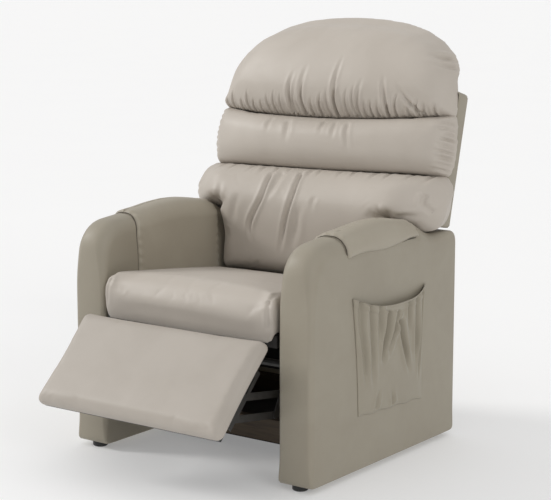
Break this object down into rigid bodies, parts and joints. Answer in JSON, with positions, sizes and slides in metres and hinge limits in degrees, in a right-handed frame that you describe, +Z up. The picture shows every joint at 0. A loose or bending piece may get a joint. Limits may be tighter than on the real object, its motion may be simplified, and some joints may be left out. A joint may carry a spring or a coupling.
{
  "type": "recliner armchair",
  "caption": "Upholstered recliner armchair with padded arms, pillow back, seat that glides as the back tilts, fold-out footrest on a bar linkage and a side pocket.",
  "frame": {"origin": "centre of the bounding box on the floor, chair as pictured: back upright and footrest half open", "axes": "+Z up, -Y is the way the sitter faces, +X is the sitter's left"},
  "size_m": [0.814, 1.0186, 1.1017],
  "materials": {
    "leather": "greige faux leather, matte satin",
    "leather_shell": "the same greige faux leather on the outer shell",
    "foam": "foam under cover",
    "wood": "raw frame timber and plywood",
    "black_steel": "black painted flat steel",
    "zinc": "bright zinc",
    "black_plastic": "black moulded"
  },
  "bodies": {
    "base": {"arm_cover_L": "leather_shell", "arm_cover_R": "leather_shell", "arm_cap_L": "leather", "arm_cap_R": "leather", "arm_side_board_L": "wood", "arm_side_board_R": "wood", "arm_front_post_L": "wood", "arm_front_post_R": "wood", "arm_rear_post_L": "wood", "arm_rear_post_R": "wood", "glide_front_L": "black_plastic", "glide_front_R": "black_plastic", "glide_rear_L": "black_plastic", "glide_rear_R": "black_plastic", "seat_track_L": "black_steel", "seat_track_R": "black_steel", "side_pocket": "leather", "release_bezel": "black_plastic", "front_cross_rail": "wood", "rear_cross_rail": "wood", "rear_base_panel": "leather_shell"},
    "seat": {"seat_side_rail_L": "wood", "seat_side_rail_R": "wood", "seat_plate_L": "black_steel", "seat_plate_R": "black_steel", "seat_front_rail": "wood", "seat_rear_rail": "wood", "seat_spring_1": "black_steel", "seat_spring_2": "black_steel", "seat_spring_3": "black_steel", "seat_cushion": "leather"},
    "back": {"back_post_L": "wood", "back_post_R": "wood", "back_side_border_L": "leather_shell", "back_side_border_R": "leather_shell", "back_bracket_L": "black_steel", "back_bracket_R": "black_steel", "back_panel_lower": "leather_shell", "back_panel_upper": "leather_shell", "head_block": "foam", "back_rail_mid": "wood", "back_rail_top": "wood", "back_cushion_low": "leather", "lumbar_pillow": "leather", "mid_roll": "leather", "head_pillow": "leather"},
    "drive_links": {"drive_link_L": "black_steel", "drive_link_R": "black_steel", "drive_tube": "black_steel"},
    "rear_links": {"rear_link_L": "black_steel", "rear_link_R": "black_steel"},
    "lower_bars": {"lower_bar_L": "black_steel", "lower_bar_R": "black_steel"},
    "upper_bars": {"upper_bar_L": "black_steel", "upper_bar_R": "black_steel"},
    "footrest": {"footrest_bracket_L": "black_steel", "footrest_bracket_R": "black_steel", "footrest_pad": "leather", "footrest_board": "wood"},
    "release": {"release_paddle": "zinc"}
  },
  "joints": [
    {"name": "seat_glide", "type": "slide", "parent": "base", "child": "seat", "axis": [0, -1, 0], "range_m": [0, 0.0401]},
    {"name": "back_recline", "type": "hinge", "parent": "seat", "child": "back", "pos_m": [0, 0.34475, 0.3595], "axis": [-1, 0, 0], "range_deg": [0, 32]},
    {"name": "footrest_extend", "type": "hinge", "parent": "seat", "child": "drive_links", "pos_m": [0, -0.13452, 0.34403], "axis": [-1, 0, 0], "range_deg": [-45, 45]},
    {"name": "rear_link_turn", "type": "hinge", "parent": "seat", "child": "rear_links", "pos_m": [0, -0.08352, 0.33653], "axis": [-1, 0, 0], "range_deg": [-45, 45]},
    {"name": "lower_bar_turn", "type": "hinge", "parent": "drive_links", "child": "lower_bars", "pos_m": [0, -0.22857, 0.17362], "axis": [-1, 0, 0], "range_deg": [-45, 45]},
    {"name": "upper_bar_turn", "type": "hinge", "parent": "drive_links", "child": "upper_bars", "pos_m": [0, -0.20223, 0.22133], "axis": [-1, 0, 0], "range_deg": [-45, 45]},
    {"name": "footrest_turn", "type": "hinge", "parent": "lower_bars", "child": "footrest", "pos_m": [0, -0.39857, 0.19862], "axis": [-1, 0, 0], "range_deg": [-45, 45]},
    {"name": "release_pull", "type": "hinge", "parent": "base", "child": "release", "pos_m": [-0.3803, -0.06025, 0.417], "axis": [0, 1, 0], "range_deg": [0, 30], "stiffness_Nm_per_rad": 0.6}
  ],
  "couplings": [
    {"joint": "seat_glide", "follows": "back_recline", "m_per_rad": 0.07162},
    {"joint": "rear_link_turn", "follows": "footrest_extend", "ratio": 1},
    {"joint": "lower_bar_turn", "follows": "footrest_extend", "ratio": -1},
    {"joint": "upper_bar_turn", "follows": "footrest_extend", "ratio": -1},
    {"joint": "footrest_turn", "follows": "footrest_extend", "ratio": 1}
  ]
}
